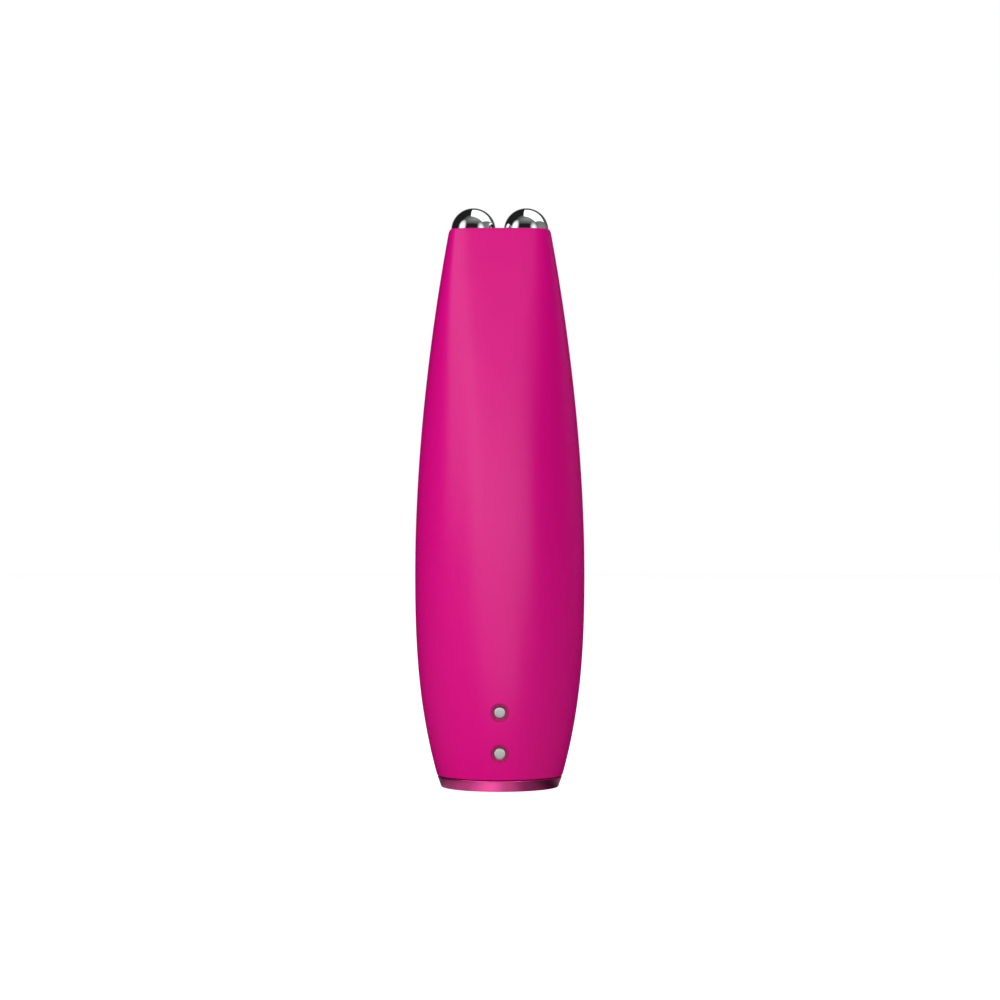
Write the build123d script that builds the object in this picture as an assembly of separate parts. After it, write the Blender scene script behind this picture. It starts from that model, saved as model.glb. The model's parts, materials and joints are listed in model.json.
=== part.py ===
from build123d import *
from functools import cache
from math import cos, pi, radians, sin, tan
import os

# Hand-held microcurrent facial toning device. Millimetres, +Z up, origin at the centre of
# the base. The charging contacts face -Y (the rear) and the sphere face leans to +Y.

# Handle outline: a round foot and belly that turn into a squarish head
seam_height = 2.0
belly_height = 36.5
rim_height = 94.2
seam_radius = 10.66
belly_radius = 14.37
rim_half_width = 8.57
rim_rear_depth = 6.8
rim_front_depth = 3.5
upper_taper = 1.87
lower_taper = 2.6
rim_squareness = 5.0
section_points = 28
lower_sections = (-0.09, 0.0, 0.11, 0.28, 0.5, 0.76)
upper_sections = (0.05, 0.26, 0.46, 0.64, 0.78, 0.88, 0.96, 1.05)

# Head: level along the rear edge, then sloping down to the front
head_slope = 32.0
crest_y = -3.6
crest_radius = 6.0
plate_inset = 0.25
plate_thickness = 1.3
plate_gap = 0.05
head_gasket_thickness = 0.5
holder_thickness = 1.6
holder_tab_drop = 0.6
holder_tab_reach = 7.9
holder_tab_front = 3.0
holder_tab_rear = 2.0
holder_gap = 0.05

# Treatment spheres and what holds them
sphere_radius = 3.8
sphere_x = 4.485
sphere_y = 0.5
sphere_rise = 0.2
socket_wall = 0.3
socket_gap = 0.02
socket_tube_radius = 1.5
socket_tube_sink = 0.8
stud_radius = 1.1
stud_gap = 0.03
stud_proud = 0.5
terminal_thickness = 0.3
terminal_radius = 1.9
terminal_reach = 3.2
terminal_tab_width = 1.2
nut_across_flats = 3.6
nut_thickness = 1.4

# Silicone sleeve
sleeve_wall = 1.5
sleeve_rim_wall = 0.75
sleeve_gap = 0.1

# Housing halves
housing_wall = 1.3
spigot_radius = 1.3
spigot_height = 0.8
spigot_gap = 0.05
boss_radius = 2.0
boss_clearance = 0.87
lower_boss_z = 22.0
upper_boss_drop = 2.0
screw_shank_radius = 0.75
screw_length = 9.5
screw_head_radius = 1.35
screw_head_height = 0.9
screw_sink = 0.05
screw_hole_gap = 0.1
screw_end_room = 0.5

# Base cap and its seal
cap_gap = 0.15
cap_step = 0.1
cap_foot_radius = 9.94
cap_foot_chamfer = 0.25
cap_edge_chamfer = 0.12
cap_floor = 0.9
collar_wall = 0.8
collar_fit_gap = 0.1
base_gasket_thickness = 0.4
snap_height = 0.8
snap_depth = 0.4
snap_z = 3.3
snap_arc = 40.0
snap_count = 3
snap_gap = 0.1
ledge_inner_radius = 6.0
ledge_thickness = 0.95
ledge_gap = 0.05

# Power button, light ring and switch
button_radius = 5.6
button_recess = 0.3
button_dish_depth = 0.2
button_flange_width = 0.5
button_flange_thickness = 0.5
button_boss_radius = 1.6
button_travel = 0.4
button_rest_gap = 0.05
button_side_gap = 0.15
ring_width = 0.7
ring_recess = 0.15
ring_seat_width = 0.4
ring_seat_thickness = 0.4
ring_wall_gap = 0.25
ring_fit_gap = 0.05
seal_clearance = 0.1
seal_thickness = 0.3
spacer_wall = 0.5
switch_width = 4.2
switch_height = 1.1
plunger_radius = 0.9
plunger_gap = 0.05
plunger_length = 0.9
plunger_end_room = 0.1
button_board_gap = 0.1
button_board_thickness = 0.8
led_count = 4
led_radius = 5.2
led_length = 1.6
led_width = 0.8
led_height = 0.6

# Charging contacts on the rear
contact_heights = (6.5, 13.4)
contact_radius = 1.0
contact_recess = 0.3
contact_fit_gap = 0.05
contact_well_radius = 1.5
contact_well_depth = 0.6
contact_flange_sink = 0.55
contact_flange_radius = 1.7
contact_flange_thickness = 0.5
contact_seal_thickness = 0.35
contact_tail_radius = 0.6
contact_tail_proud = 0.4
contact_boss_radius = 2.1
contact_board_y = -8.1
contact_board_thickness = 0.8
contact_board_half_width = 2.2
contact_board_margin = 1.2
contact_board_gap = 0.2
magnet_x = 4.9
magnet_z = 10.5
magnet_y = -6.7
magnet_radius = 2.0
magnet_thickness = 1.6
magnet_gap = 0.05
magnet_boss_wall = 0.45

# Battery, main board and what is on it
battery_radius = 6.5
battery_z = 22.2
battery_y = 3.2
battery_gap = 0.1
battery_end_gap = 0.2
battery_cap_radius = 2.2
battery_cap_height = 0.4
cradle_heights = (29.0, 46.0)
rib_thickness = 1.4
cradle_half_width = 6.0
cradle_depth = 1.5
stop_half_width = 4.2
stop_notch_half_width = 2.6
board_y = -5.0
board_thickness = 1.2
board_side_gap = 0.3
board_z = 17.0
board_top_margin = 3.5
board_corner = 1.0
post_inset = 1.7
post_edge = 3.0
post_radius = 1.4
post_pin_radius = 0.6
pad_half_width = 4.0
pad_length = 22.0
pad_thickness = 1.2
chip_size = 5.0
chip_height = 0.9
chip_z = 38.0
coil_size = 4.4
coil_height = 2.6
coil_z = 47.0
capacitor_count = 3
capacitor_pitch = 2.6
capacitor_z = 30.5
capacitor_width = 1.2
capacitor_length = 1.8
capacitor_height = 1.1
connector_width = 5.0
connector_height = 2.6
connector_depth = 2.0
connector_gap = 1.3

# Vibration motor
motor_y = -0.6
motor_gap = 2.5
motor_radius = 4.0
motor_length = 11.5
motor_edge_chamfer = 0.3
shaft_radius = 0.75
shaft_gap = 0.05
shaft_seat_depth = 3.0
shaft_length = 8.2
weight_radius = 3.7
weight_hub_radius = 1.5
weight_thickness = 3.6
weight_lift = 1.0
weight_headroom = 7.76
mount_wall = 1.1
mount_length = 9.5
mount_start = 0.6
mount_groove_depth = 0.3
motor_rib_offsets = (2.0, 6.8)
motor_rib_half_width = 4.4
motor_rib_gap = 0.05

# Leads
lead_radius = 0.4
lead_bend_share = 0.45
lead_end_run = 3.0
lead_solder_inset = 1.2
electrode_lead_x = 6.2
electrode_lead_y = -1.7
electrode_lead_over = 4.0
electrode_lead_under = 2.0
electrode_pad_x = 4.2
motor_lead_x = 1.4
motor_lead_drop = 2.2
motor_lead_step = 1.6
battery_lead_x = 1.2
contact_lead_x = 1.4
contact_lead_run = 1.2
contact_pad_rise = 2.2
cable_width = 4.0
cable_thickness = 0.3
cable_bend = 1.5
cable_y = 1.5
cable_rise = 4.0
cable_lap = 2.6

# Heights up the base stack
cap_height = seam_height - cap_gap
housing_end = cap_height + base_gasket_thickness
ring_top = cap_floor + ring_seat_thickness
button_flange_z = ring_top + button_rest_gap
button_flange_top = button_flange_z + button_flange_thickness
seal_z = button_flange_top + button_travel + seal_clearance
seal_top = seal_z + seal_thickness
plunger_z = seal_top + plunger_gap
switch_z = plunger_z + button_travel
button_board_z = switch_z + switch_height
collar_top = button_board_z + button_board_thickness
ledge_z = collar_top + ledge_gap
ledge_top = ledge_z + ledge_thickness

# Radii out from the button
ring_inner_radius = button_radius + button_side_gap
ring_radius = ring_inner_radius + ring_width
window_radius = ring_radius + ring_fit_gap
button_flange_radius = button_radius + button_flange_width
ring_wall_radius = button_flange_radius + ring_wall_gap
ring_seat_radius = window_radius + ring_seat_width
collar_inner_radius = ring_seat_radius + ring_fit_gap
collar_radius = collar_inner_radius + collar_wall
bore_radius = collar_radius + collar_fit_gap
cap_top_radius = seam_radius - cap_step

# Set-in of each shell from the outer surface: below the belly, and at the rim
outer_skin = (0.0, 0.0)
sleeve_skin = (sleeve_wall, sleeve_rim_wall)
housing_skin = (sleeve_wall + sleeve_gap, sleeve_rim_wall + sleeve_gap)
cavity_skin = (housing_skin[0] + housing_wall, housing_skin[1] + housing_wall)

# Depth of each layer of the head below the cut face
plate_bottom = plate_inset + plate_thickness
housing_rim = plate_bottom + head_gasket_thickness
holder_bottom = housing_rim + holder_thickness
holder_tab_top = housing_rim + holder_tab_drop

board_front = board_y + board_thickness
far = 60.0

# Down the inside: each piece hangs under the one above, and the cell fills what is left
holder_low = rim_height - holder_bottom
holder_low -= (motor_y + weight_radius - crest_y) * tan(radians(head_slope))
motor_z = holder_low - weight_headroom - weight_thickness - weight_lift - motor_length
board_top = motor_z - motor_gap
connector_z = board_top - board_top_margin - connector_height / 2
battery_top = connector_z - connector_height / 2 - connector_gap
battery_length = battery_top - battery_cap_height - battery_z

# Across the inside: the screw bosses stand at the walls, and the board lies between them
boss_heights = (lower_boss_z, board_top - upper_boss_drop)
boss_x = belly_radius - cavity_skin[0] - boss_radius - boss_clearance
board_half_width = boss_x - boss_radius - board_side_gap
post_x = board_half_width - post_inset
sphere_z = rim_height + sphere_rise


def grown(skin_inset, amount):
    """A shell's set-in, moved further in by the same amount everywhere"""
    return (skin_inset[0] + amount, skin_inset[1] + amount)


def taper(z, at_seam, at_belly, at_rim):
    """Half width or half depth of the handle at height z"""
    if z > belly_height:
        rise = (z - belly_height) / (rim_height - belly_height)
        return at_belly - (at_belly - at_rim) * rise**upper_taper
    drop = (belly_height - z) / (belly_height - seam_height)
    return at_belly - (at_belly - at_seam) * drop**lower_taper


def squareness(z):
    """Exponent of the section: 2 is an ellipse, more is squarer"""
    rise = max(0.0, (z - belly_height) / (rim_height - belly_height))
    return 2.0 + (rim_squareness - 2.0) * rise**4


def rear_surface(z, inset=0.0):
    """Y of the handle's rear surface on its centre line, set in by inset"""
    return inset - taper(z, seam_radius, belly_radius, rim_rear_depth)


def rear_wall(x, z, low_inset, rim_inset):
    """Y of the rear of a shell, off the centre line"""
    width = taper(z, seam_radius - low_inset, belly_radius - low_inset, rim_half_width - rim_inset)
    depth = taper(z, seam_radius - low_inset, belly_radius - low_inset, rim_rear_depth - rim_inset)
    power = squareness(z)
    return -depth * (1 - (x / width)**power)**(1 / power)


def section(z, low_inset, rim_inset):
    """Outline of the handle at height z"""
    width = taper(z, seam_radius - low_inset, belly_radius - low_inset, rim_half_width - rim_inset)
    rear = taper(z, seam_radius - low_inset, belly_radius - low_inset, rim_rear_depth - rim_inset)
    front = taper(z, seam_radius - low_inset, belly_radius - low_inset, rim_front_depth - rim_inset)
    power = squareness(z)
    points = []
    for k in range(section_points):
        angle = pi / 2 + 2 * pi * k / section_points
        depth = front if sin(angle) > 0 else rear
        reach = (abs(cos(angle) / width)**power + abs(sin(angle) / depth)**power)**(-1 / power)
        points.append(Vector(reach * cos(angle), reach * sin(angle), z))
    steps = [k / section_points for k in range(section_points + 1)]
    return Face(Wire([Edge.make_spline(points, periodic=True, parameters=steps)]))


@cache
def skin(low_inset, rim_inset):
    """Solid bounded by the handle's surface, set in by the given amounts"""
    heights = [seam_height + share * (belly_height - seam_height) for share in lower_sections]
    heights += [belly_height + share * (rim_height - belly_height) for share in upper_sections]
    return loft([section(z, low_inset, rim_inset) for z in heights])


@cache
def under_head(depth):
    """Everything under the head's cut face, taken down by depth"""
    corner_y = crest_y - depth * tan(radians(head_slope) / 2)
    corner_z = rim_height - depth
    foot = -5.0
    outline = Polyline(
        (-far, foot),
        (-far, corner_z),
        (corner_y, corner_z),
        (far, corner_z - (far - corner_y) * tan(radians(head_slope))),
        (far, foot),
        close=True,
    )
    profile = make_face(Plane.YZ * outline)
    corner = profile.vertices().sort_by_distance((0, corner_y, corner_z))[0]
    profile = fillet(corner, crest_radius - depth)
    return extrude(profile, amount=far / 2, both=True)


def head_layer(shell, top, bottom):
    """Slice of a shell that follows the head's cut face"""
    return skin(*shell) & (under_head(top) - under_head(bottom))


def disc(radius, low, high, hole=0.0):
    """Upright disc or ring between two heights"""
    solid = Pos(0, 0, (low + high) / 2) * Cylinder(radius, high - low)
    if hole:
        solid -= Pos(0, 0, (low + high) / 2) * Cylinder(hole, high - low + 1)
    return solid


def block(x, y, z):
    """Box from its low and high values on each axis"""
    size = (x[1] - x[0], y[1] - y[0], z[1] - z[0])
    return Pos((x[0] + x[1]) / 2, (y[0] + y[1]) / 2, (z[0] + z[1]) / 2) * Box(*size)


def rod(x, z, radius, y_from, y_to):
    """Cylinder along Y"""
    return Pos(x, (y_from + y_to) / 2, z) * Rot(90, 0, 0) * Cylinder(radius, abs(y_to - y_from))


def sphere_axis(side):
    """Local frame of one sphere: its Z leaves the sloping face at a right angle"""
    return Pos(side * sphere_x, sphere_y, sphere_z) * Rot(-head_slope, 0, 0)


# Height of the sphere's centre above the sloping cut face
sphere_lift = (sphere_y - crest_y) * sin(radians(head_slope))
sphere_lift += (sphere_z - rim_height) * cos(radians(head_slope))


def below_centre(depth):
    """Local height, from the sphere's centre, of a head layer at this depth"""
    return -(sphere_lift + depth)


# Head ---------------------------------------------------------------------------------

def socket_pocket(gap):
    """What one socket takes out of the plate, holder and gasket"""
    tube_end = below_centre(housing_rim + socket_tube_sink + gap)
    pocket = Sphere(sphere_radius + socket_wall + gap)
    pocket += disc(socket_tube_radius + gap, tube_end, 0)
    return pocket


def treatment_sphere(side):
    stud_end = below_centre(holder_bottom + terminal_thickness + nut_thickness + stud_proud)
    ball = Sphere(sphere_radius) + disc(stud_radius, stud_end, 0)
    return sphere_axis(side) * ball


def sphere_socket(side):
    cup = socket_pocket(0.0)
    cup -= Sphere(sphere_radius + socket_gap)
    cup -= Cylinder(stud_radius + stud_gap, far)
    cup -= Pos(0, 0, below_centre(plate_inset) + far / 2) * Box(far, far, far)
    return (sphere_axis(side) * cup) & under_head(plate_inset)


def cut_sockets(shape):
    for side in (-1, 1):
        shape -= sphere_axis(side) * socket_pocket(socket_gap)
        shape -= sphere_axis(side) * Cylinder(stud_radius + stud_gap, far)
    return shape


def head_plate():
    return cut_sockets(head_layer(grown(sleeve_skin, plate_gap), plate_inset, plate_bottom))


def head_gasket():
    return cut_sockets(head_layer(grown(sleeve_skin, plate_gap), plate_bottom, housing_rim))


def electrode_holder():
    body = head_layer(grown(cavity_skin, holder_gap), housing_rim, holder_bottom)
    return cut_sockets(body + holder_tabs(0.0))


def electrode_nuts():
    high = below_centre(holder_bottom + terminal_thickness)
    nut = extrude(RegularPolygon(nut_across_flats / 2, 6, major_radius=False), nut_thickness)
    nut = Pos(0, 0, high - nut_thickness) * nut
    nut -= Cylinder(stud_radius, far)
    return Compound([sphere_axis(side) * nut for side in (-1, 1)])


def electrode_terminals():
    high = below_centre(holder_bottom)
    low = high - terminal_thickness
    tag = disc(terminal_radius, low, high)
    tag += block((-terminal_tab_width / 2, terminal_tab_width / 2), (0, terminal_reach), (low, high))
    tag -= Cylinder(stud_radius, far)
    return Compound([sphere_axis(side) * tag for side in (-1, 1)])


# Sleeve -------------------------------------------------------------------------------

def silicone_sleeve():
    sleeve = skin(*outer_skin) & under_head(0.0)
    sleeve -= skin(*sleeve_skin)
    sleeve -= block((-far, far), (-far, far), (-far, seam_height))
    for z in contact_heights:
        sleeve -= rod(0, z, contact_well_radius, -far, rear_surface(z) + contact_well_depth)
        sleeve -= rod(0, z, contact_radius + contact_fit_gap, -far, 0)
    return sleeve


# Housing ------------------------------------------------------------------------------

def half_space(side):
    """Everything in front of the parting plane, side 1, or behind it, side -1"""
    return block((-far, far), sorted((0, side * far)), (-far, 2 * far))


def housing_blank(side):
    """One half of the housing, still solid"""
    blank = skin(*housing_skin) & half_space(side) & under_head(housing_rim)
    return blank & disc(far, housing_end, rim_height)


def base_socket():
    """What the base cap's collar, its snap lugs and the button board need room for"""
    room = disc(bore_radius, 0, ledge_z) + disc(ledge_inner_radius, 0, ledge_top + 1)
    return room + disc(bore_radius + snap_depth, snap_z - snap_gap, snap_z + snap_height + snap_gap)


def holder_tabs(gap):
    """Tabs on the electrode holder that the two halves trap in their side walls"""
    high = below_centre(holder_tab_top - gap)
    low = below_centre(holder_bottom + gap)
    reach = holder_tab_reach + gap
    tabs = block((-reach, reach), (-holder_tab_rear - gap, holder_tab_front + gap), (low, high))
    return Pos(0, sphere_y, sphere_z) * Rot(-head_slope, 0, 0) * tabs


def cradle(centre_y, radius, half_width, y, z):
    """Rib across the housing with a round seat in it"""
    return block((-half_width, half_width), y, z) - Pos(0, centre_y, 0) * disc(radius, z[0] - 1, z[1] + 1)


def battery_ribs():
    ribs = []
    for z in cradle_heights:
        y = (battery_y + cradle_depth, far)
        seat = battery_radius + battery_gap
        ribs.append(cradle(battery_y, seat, cradle_half_width, y, (z, z + rib_thickness)))
    low = battery_z - battery_end_gap - rib_thickness
    high = battery_top + battery_end_gap
    for z in (low, high):
        stop = block((-stop_half_width, stop_half_width), (battery_y, far), (z, z + rib_thickness))
        notch_end = battery_y + battery_cap_radius + lead_radius
        ribs.append(stop - block((-stop_notch_half_width, stop_notch_half_width),
                                 (0, notch_end), (z - 1, z + rib_thickness + 1)))
    return ribs


def motor_ribs(side):
    """Half-round saddles that hold the motor's rubber mount in its grooves"""
    seat = motor_radius + mount_wall - mount_groove_depth + motor_rib_gap
    ribs = []
    for offset in motor_rib_offsets:
        z = motor_z + offset
        ribs.append(cradle(motor_y, seat, motor_rib_half_width, sorted((0, side * far)),
                           (z, z + rib_thickness)))
    return ribs


def screw_seat():
    """Y that every screw head bears on, so that the head stays just under the housing's surface"""
    reach = boss_x + screw_head_radius
    return max(rear_wall(reach, z, *housing_skin) for z in boss_heights) + screw_head_height + screw_sink


def at_bosses(radius, y_from, y_to):
    """The same cylinder along Y at each screw boss"""
    return [rod(side * boss_x, z, radius, y_from, y_to) for side in (-1, 1) for z in boss_heights]


def carved(side, solids, holes):
    """One half with these solids left standing in its cavity, and these holes cut"""
    cavity = skin(*cavity_skin) & half_space(side) & disc(far, ledge_top, 2 * far)
    return housing_blank(side) - [cavity - solids, base_socket(), holder_tabs(holder_gap)] - holes


def front_housing():
    solids = battery_ribs() + motor_ribs(1) + at_bosses(boss_radius, 0, far)
    holes = at_bosses(spigot_radius + spigot_gap, -1, spigot_height + spigot_gap)
    holes += at_bosses(screw_shank_radius, -1, screw_seat() + screw_length + screw_end_room)
    return carved(1, solids, holes)


def contact_seat(z):
    """Y of the outer face of a contact's flange"""
    return rear_surface(z, housing_skin[0]) + contact_flange_sink


def rear_housing():
    magnet_front = magnet_y + magnet_thickness
    solids = motor_ribs(-1) + at_bosses(boss_radius, 0, -far)
    holes = at_bosses(screw_shank_radius + screw_hole_gap, spigot_height + 1, -far)
    holes += at_bosses(screw_head_radius + screw_hole_gap, screw_seat(), -far)
    pins = at_bosses(spigot_radius, -1, spigot_height)
    for side in (-1, 1):
        for z in post_heights():
            solids.append(rod(side * post_x, z, post_radius, board_y, -far))
            pins.append(rod(side * post_x, z, post_pin_radius, board_front, board_y - 1))
        solids.append(rod(side * magnet_x, magnet_z, magnet_radius + magnet_boss_wall, magnet_front, -far))
        holes.append(rod(side * magnet_x, magnet_z, magnet_radius + magnet_gap, magnet_front, magnet_y))
    for z in contact_heights:
        solids.append(rod(0, z, contact_boss_radius, contact_board_y, -far))
        seal_end = contact_seat(z) + contact_flange_thickness + contact_seal_thickness
        holes.append(rod(0, z, contact_flange_radius + contact_fit_gap, -far, seal_end))
        holes.append(rod(0, z, contact_tail_radius + contact_fit_gap, -far, 0))
    notch = contact_board_half_width + contact_board_gap
    holes.append(block((-notch, notch), (contact_board_y, 0), (ledge_z, ledge_top)))
    return carved(-1, solids, []) + pins - holes


def housing_screws():
    seat = screw_seat()
    heads = at_bosses(screw_head_radius, seat, seat - screw_head_height)
    shanks = at_bosses(screw_shank_radius, seat, seat + screw_length)
    return Compound([head + shank for head, shank in zip(heads, shanks)])


# Base ---------------------------------------------------------------------------------

def revolved(points):
    """Solid turned about Z from its half section, given as radius and height"""
    return revolve(make_face(Plane.XZ * Polyline(*points, close=True)), Axis.Z)


def base_cap():
    cap = revolved([
        (window_radius, 0),
        (cap_foot_radius, 0),
        (cap_top_radius, cap_height),
        (collar_radius, cap_height),
        (collar_radius, collar_top),
        (collar_inner_radius, collar_top),
        (collar_inner_radius, cap_floor),
        (window_radius, cap_floor),
    ])
    for radius, cut in ((cap_foot_radius, cap_foot_chamfer), (cap_top_radius, cap_edge_chamfer)):
        rim = [e for e in cap.edges().filter_by(GeomType.CIRCLE) if abs(e.radius - radius) < 0.01]
        cap = chamfer(rim, cut)
    return cap + snap_lugs()


def snap_lugs():
    """Wedges on the collar that click into the housing's groove"""
    reach = collar_radius + snap_depth
    wedge = make_face(Plane.XZ * Polyline(
        (collar_inner_radius + 0.1, snap_z),
        (reach, snap_z),
        (collar_radius + 0.05, snap_z + snap_height),
        (collar_inner_radius + 0.1, snap_z + snap_height),
        close=True,
    ))
    lug = Rot(0, 0, -snap_arc / 2) * revolve(wedge, Axis.Z, snap_arc)
    return [Rot(0, 0, 90 + k * 360 / snap_count) * lug for k in range(snap_count)]


def base_gasket():
    width = seam_radius - sleeve_wall - sleeve_gap
    return disc(width, cap_height, housing_end, bore_radius)


def light_ring():
    return revolved([
        (ring_inner_radius, ring_recess),
        (ring_radius, ring_recess),
        (ring_radius, cap_floor),
        (ring_seat_radius, cap_floor),
        (ring_seat_radius, seal_z),
        (ring_wall_radius, seal_z),
        (ring_wall_radius, ring_top),
        (ring_inner_radius, ring_top),
    ])


def power_button():
    button = disc(button_radius, button_recess, button_flange_top)
    button += disc(button_flange_radius, button_flange_z, button_flange_top)
    button += disc(button_boss_radius, button_flange_top, seal_z)
    dish_width = button_radius - ring_width
    ball_radius = (dish_width**2 + button_dish_depth**2) / (2 * button_dish_depth)
    return button - Pos(0, 0, button_recess + button_dish_depth - ball_radius) * Sphere(ball_radius)


def button_seal():
    return disc(ring_seat_radius, seal_z, seal_top)


def board_spacer():
    return disc(ring_seat_radius, seal_top, button_board_z, ring_seat_radius - spacer_wall)


def switch_body():
    half = switch_width / 2
    body = block((-half, half), (-half, half), (switch_z, button_board_z))
    bore_top = plunger_z + plunger_length + button_travel + plunger_end_room
    return body - disc(plunger_radius + plunger_gap, 0, bore_top)


def switch_plunger():
    return disc(plunger_radius, plunger_z, plunger_z + plunger_length)


def button_board():
    return disc(collar_inner_radius - button_board_gap, button_board_z, collar_top)


def indicator_leds():
    led = block((-led_width / 2, led_width / 2), (-led_length / 2, led_length / 2),
                (button_board_z - led_height, button_board_z))
    turn = 360 / led_count
    return Compound([Rot(0, 0, turn * (k + 0.5)) * Pos(led_radius, 0, 0) * led for k in range(led_count)])


# Charging contacts --------------------------------------------------------------------

def charge_contact(z):
    seat = contact_seat(z)
    flange_end = seat + contact_flange_thickness
    tail_end = contact_board_y + contact_board_thickness + contact_tail_proud
    pin = rod(0, z, contact_radius, rear_surface(z) + contact_recess, flange_end)
    pin += rod(0, z, contact_flange_radius, seat, flange_end)
    return pin + rod(0, z, contact_tail_radius, flange_end, tail_end)


def contact_seals():
    seals = []
    for z in contact_heights:
        start = contact_seat(z) + contact_flange_thickness
        seal = rod(0, z, contact_flange_radius, start, start + contact_seal_thickness)
        seals.append(seal - rod(0, z, contact_tail_radius, -far, 0))
    return Compound(seals)


def contact_board():
    front = contact_board_y + contact_board_thickness
    half = contact_board_half_width
    board = block((-half, half), (contact_board_y, front),
                  (contact_heights[0] - contact_board_margin, contact_heights[1] + contact_board_margin))
    for z in contact_heights:
        board -= rod(0, z, contact_tail_radius + contact_fit_gap, -far, 0)
    return board


def charge_magnets():
    end = magnet_y + magnet_thickness
    return Compound([rod(side * magnet_x, magnet_z, magnet_radius, magnet_y, end) for side in (-1, 1)])


# Electronics --------------------------------------------------------------------------

def battery_cell():
    shoulder = battery_z + battery_length
    cell = disc(battery_radius, battery_z, shoulder) + disc(battery_cap_radius, shoulder, battery_top)
    return Pos(0, battery_y, 0) * cell


def battery_pad():
    middle = battery_z + battery_length / 2
    pad = block((-pad_half_width, pad_half_width), (board_front, board_front + pad_thickness),
                (middle - pad_length / 2, middle + pad_length / 2))
    return pad - Pos(0, battery_y, 0) * disc(battery_radius, battery_z, battery_z + battery_length)


def post_heights():
    return (board_z + post_edge, board_top - post_edge)


def main_board():
    board = block((-board_half_width, board_half_width), (board_y, board_front),
                  (board_z, board_top))
    board = fillet(board.edges().filter_by(Axis.Y), board_corner)
    for side in (-1, 1):
        for z in post_heights():
            board -= rod(side * post_x, z, post_pin_radius + contact_fit_gap, -far, far)
    return board


def on_rear_face(x, z, width, length, height):
    """Component on the main board's rear face"""
    return block((x - width / 2, x + width / 2), (board_y - height, board_y),
                 (z - length / 2, z + length / 2))


def control_chip():
    return on_rear_face(0, chip_z, chip_size, chip_size, chip_height)


def boost_coil():
    coil = on_rear_face(0, coil_z, coil_size, coil_size, coil_height)
    return fillet(coil.edges().filter_by(Axis.Y), coil_size / 5)


def board_capacitors():
    row = []
    for k in range(capacitor_count):
        x = (k - (capacitor_count - 1) / 2) * capacitor_pitch
        row.append(on_rear_face(x, capacitor_z, capacitor_width, capacitor_length, capacitor_height))
    return Compound(row)


def battery_connector():
    half = connector_width / 2
    return block((-half, half), (board_front, board_front + connector_depth),
                 (connector_z - connector_height / 2, connector_z + connector_height / 2))


# Motor --------------------------------------------------------------------------------

def motor_can():
    can = disc(motor_radius, motor_z, motor_z + motor_length)
    can = chamfer(can.edges().filter_by(GeomType.CIRCLE), motor_edge_chamfer)
    top = motor_z + motor_length
    can -= disc(shaft_radius + shaft_gap, top - shaft_seat_depth - shaft_gap, top + 1)
    return Pos(0, motor_y, 0) * can


def motor_shaft():
    start = motor_z + motor_length - shaft_seat_depth
    return Pos(0, motor_y, 0) * disc(shaft_radius, start, start + shaft_length)


def eccentric_weight():
    low = motor_z + motor_length + weight_lift
    high = low + weight_thickness
    weight = disc(weight_radius, low, high) - block((-far, far), (-far, 0), (low - 1, high + 1))
    weight += disc(weight_hub_radius, low, high)
    return Pos(0, motor_y, 0) * (weight - disc(shaft_radius, low - 1, high + 1))


def motor_mount():
    radius = motor_radius + mount_wall
    low = motor_z + mount_start
    mount = disc(radius, low, low + mount_length, motor_radius)
    for offset in motor_rib_offsets:
        z = motor_z + offset
        mount -= disc(radius + 1, z - motor_rib_gap, z + rib_thickness + motor_rib_gap,
                      radius - mount_groove_depth)
    return Pos(0, motor_y, 0) * mount


# Leads --------------------------------------------------------------------------------

def lead(points):
    """Round wire along straight runs joined by tangent arcs"""
    bends = []
    for before, here, after in zip(points, points[1:], points[2:]):
        arriving = Vector(*here) - Vector(*before)
        leaving = Vector(*after) - Vector(*here)
        turn = radians(arriving.get_angle(leaving))
        bends.append(lead_bend_share * min(arriving.length, leaving.length) / tan(turn / 2))
    path = FilletPolyline(*points, radius=bends)
    start = Plane(origin=path @ 0, z_dir=path % 0)
    return sweep(start * Circle(lead_radius), path=path)


def pair(points):
    """The same lead on the left and on the right"""
    return Compound([lead([(side * x, y, z) for x, y, z in points]) for side in (-1, 1)])


def electrode_leads():
    tab = sphere_axis(1) * Pos(0, terminal_reach - 2 * lead_radius, 0)
    tab = tab * Pos(0, 0, below_centre(holder_bottom + terminal_thickness))
    start = tab.position
    leads = pair([
        (start.X, start.Y, start.Z),
        (start.X + lead_radius, start.Y - 2 * lead_radius, start.Z - lead_end_run),
        (electrode_lead_x, electrode_lead_y, motor_z + motor_length + electrode_lead_over),
        (electrode_lead_x, electrode_lead_y - lead_radius, motor_z + electrode_lead_under),
        (electrode_pad_x, board_front, board_top - lead_solder_inset),
    ])
    return leads - [electrode_terminals(), main_board()]


def motor_leads():
    leads = pair([
        (motor_lead_x, motor_y - motor_lead_step, motor_z),
        (motor_lead_x, motor_y - motor_lead_step, motor_z - motor_lead_drop),
        (motor_lead_x, board_front, board_top - lead_solder_inset),
    ])
    return leads - [motor_can(), main_board()]


def battery_leads():
    leads = pair([
        (battery_lead_x, battery_y, battery_top),
        (battery_lead_x, battery_y, connector_z),
        (battery_lead_x, board_front + connector_depth, connector_z),
    ])
    return leads - [battery_cell(), battery_connector()]


def contact_leads():
    start_y = contact_board_y + contact_board_thickness
    start_z = contact_heights[1] - 2 * contact_lead_run
    leads = pair([
        (contact_lead_x, start_y, start_z),
        (contact_lead_x, start_y + contact_lead_run, start_z + contact_lead_run),
        (contact_lead_x, board_y - contact_lead_run, board_z + lead_radius),
        (contact_lead_x, board_y, board_z + contact_pad_rise),
    ])
    return leads - [contact_board(), main_board()]


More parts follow.
